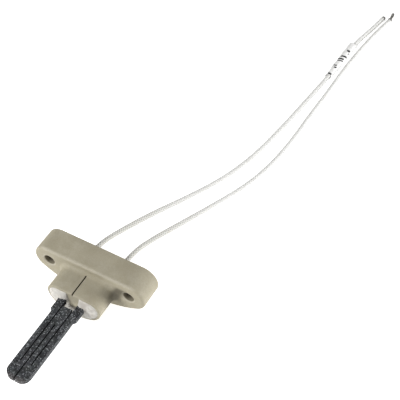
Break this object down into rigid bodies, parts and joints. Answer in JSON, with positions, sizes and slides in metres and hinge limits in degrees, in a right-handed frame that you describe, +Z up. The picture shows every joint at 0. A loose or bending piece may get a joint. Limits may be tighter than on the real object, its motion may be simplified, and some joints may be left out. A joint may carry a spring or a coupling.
{
  "type": "hot surface igniter",
  "caption": "Hot-surface ignition electrode: slotted silicon-carbide element cemented in a two-hole ceramic holder with braided leads.",
  "frame": {"origin": "middle of the object's footprint without its leads, on the surface that it lies on", "axes": "+Z up; X along the holder's long side; the heating element points to -Y and the leads run to +Y"},
  "size_m": [0.0696, 0.2814, 0.0195],
  "materials": {
    "holder_ceramic": "unglazed pressed steatite, matt, tan grey",
    "silicon_carbide": "recrystallised silicon carbide, dark grey with fine sparkling grains",
    "cement": "off-white refractory cement, rough and matt",
    "sprayed_metal": "arc-sprayed metal, dull and grainy",
    "nickel_strip": "nickel alloy strip and sleeve",
    "plated_wire": "stranded nickel-plated conductor",
    "mica_tape": "mica and glass tape wrap",
    "glass_braid": "white glass-fibre braid, slightly stiff",
    "label_paper": null
  },
  "bodies": {
    "root": {"ceramic_block": "holder_ceramic", "heating_element": "silicon_carbide", "front_cement": "cement", "wire_label": "label_paper", "left_rear_cement": "cement", "left_contact_layer": "sprayed_metal", "left_terminal_clip": "nickel_strip", "left_crimp_sleeve": "nickel_strip", "left_conductor": "plated_wire", "left_mica_wrap": "mica_tape", "left_lead_braid": "glass_braid", "right_rear_cement": "cement", "right_contact_layer": "sprayed_metal", "right_terminal_clip": "nickel_strip", "right_crimp_sleeve": "nickel_strip", "right_conductor": "plated_wire", "right_mica_wrap": "mica_tape", "right_lead_braid": "glass_braid"}
  },
  "joints": []
}
